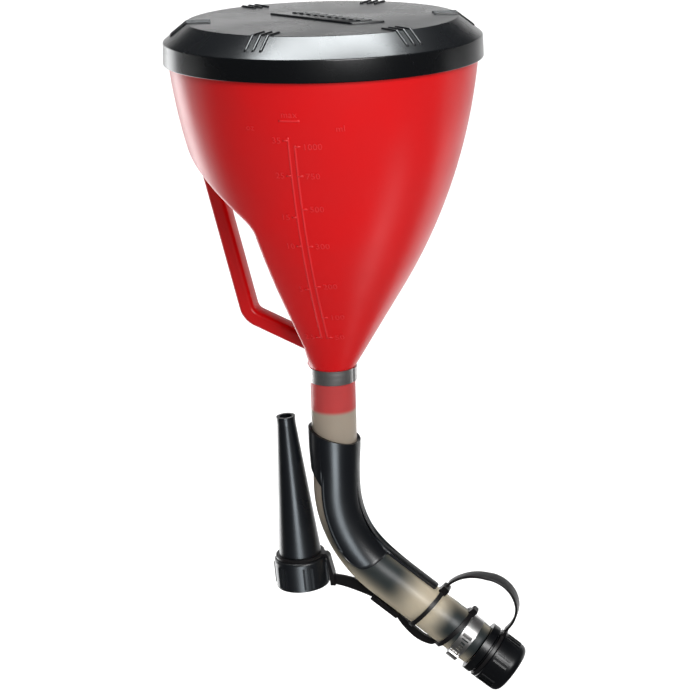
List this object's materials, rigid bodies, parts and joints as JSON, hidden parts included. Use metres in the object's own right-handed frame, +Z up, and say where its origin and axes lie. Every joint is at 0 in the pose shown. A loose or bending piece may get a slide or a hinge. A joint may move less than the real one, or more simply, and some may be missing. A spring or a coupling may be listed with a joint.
{
  "type": "funnel with lid and bent outlet hose",
  "caption": "Deep red plastic funnel with a loop handle, black lid, clamped bent outlet hose, screw cap and tethered nozzle.",
  "frame": {"origin": "centre of the bowl's mouth, in the rim's top plane", "axes": "+Z up along the bowl's axis, out of the mouth; +X towards the outlet; the handle is on -X and the scale on -Y"},
  "size_m": [0.1826, 0.16, 0.3602],
  "materials": {
    "red_body": "satin",
    "black_lid": "satin",
    "black_plastic": "satin",
    "soft_black": "matte",
    "seal_rubber": "matte",
    "clear_hose": "gloss",
    "clamp_steel": "satin"
  },
  "bodies": {
    "funnel": {"funnel_body": "red_body"},
    "lid": {"lid": "black_lid"},
    "outlet": {"hose": "clear_hose", "upper_hose_clamp": "clamp_steel", "lower_hose_clamp": "clamp_steel", "hose_guide": "black_plastic", "outlet_fitting": "black_plastic", "cap_hose_loop": "soft_black", "cap_strap": "soft_black", "nozzle_hose_loop": "soft_black", "nozzle_strap": "soft_black"},
    "cap_ring": {"cap_neck_ring": "soft_black"},
    "cap": {"outlet_cap": "black_plastic", "cap_seal": "seal_rubber"},
    "nozzle_arm": {"nozzle_neck_ring": "soft_black"},
    "nozzle": {"nozzle": "black_plastic", "nozzle_seal": "seal_rubber"}
  },
  "joints": [
    {"name": "lid_lift", "type": "slide", "parent": "funnel", "child": "lid", "axis": [0, 0, 1], "range_m": [0, 0.06]},
    {"name": "outlet_swivel", "type": "hinge", "parent": "funnel", "child": "outlet", "pos_m": [0, 0, -0.182], "axis": [0, 0, 1], "continuous": true},
    {"name": "cap_travel", "type": "slide", "parent": "outlet", "child": "cap_ring", "axis": [0.809, 0, -0.5878], "range_m": [0, 0.009], "deforming": ["cap_strap"]},
    {"name": "cap_spin", "type": "hinge", "parent": "cap_ring", "child": "cap", "pos_m": [0.08899, 0, -0.33346], "axis": [0.809, 0, -0.5878], "range_deg": [0, 1080]},
    {"name": "nozzle_swing", "type": "hinge", "parent": "outlet", "child": "nozzle_arm", "pos_m": [0.008, 0, -0.295], "axis": [0, 0, 1], "range_deg": [-30, 30], "stiffness_Nm_per_rad": 0.02, "deforming": ["nozzle_strap"]},
    {"name": "nozzle_spin", "type": "hinge", "parent": "nozzle_arm", "child": "nozzle", "pos_m": [-0.02, 0, -0.2966], "axis": [-0.0698, 0, 0.9976], "continuous": true}
  ],
  "couplings": [
    {"joint": "cap_travel", "follows": "cap_spin", "m_per_rad": 0.00047746}
  ]
}
